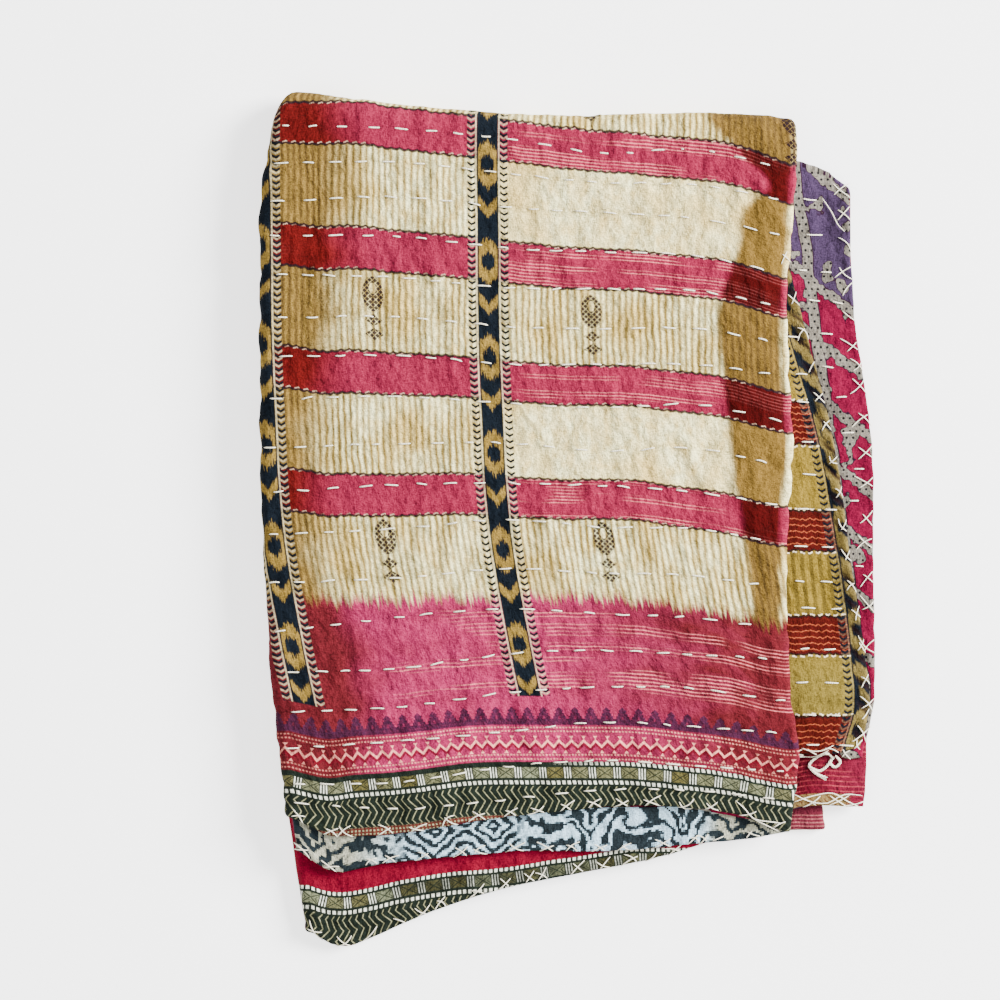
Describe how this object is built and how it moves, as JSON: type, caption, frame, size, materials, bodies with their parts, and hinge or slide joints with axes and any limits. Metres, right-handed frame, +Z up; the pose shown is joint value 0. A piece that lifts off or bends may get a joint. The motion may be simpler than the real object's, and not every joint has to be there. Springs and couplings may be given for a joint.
{
  "type": "kantha quilt",
  "caption": "A patterned cotton kantha quilt with rows of running stitches, folded and lying flat",
  "frame": {"origin": "on the surface that the quilt lies on, under the middle of the folded quilt", "axes": "+X to the right across the folded quilt, +Y towards its top fold, +Z up from the surface"},
  "size_m": [0.4941, 0.6874, 0.0359],
  "materials": {
    "printed_cotton": "matte woven cotton",
    "backing_cotton": "matte woven cotton",
    "cream_thread": "matte cotton thread"
  },
  "bodies": {
    "root": {"face_cloth": "printed_cotton", "backing_cloth": "backing_cotton", "thread_tie": "cream_thread"}
  },
  "joints": []
}
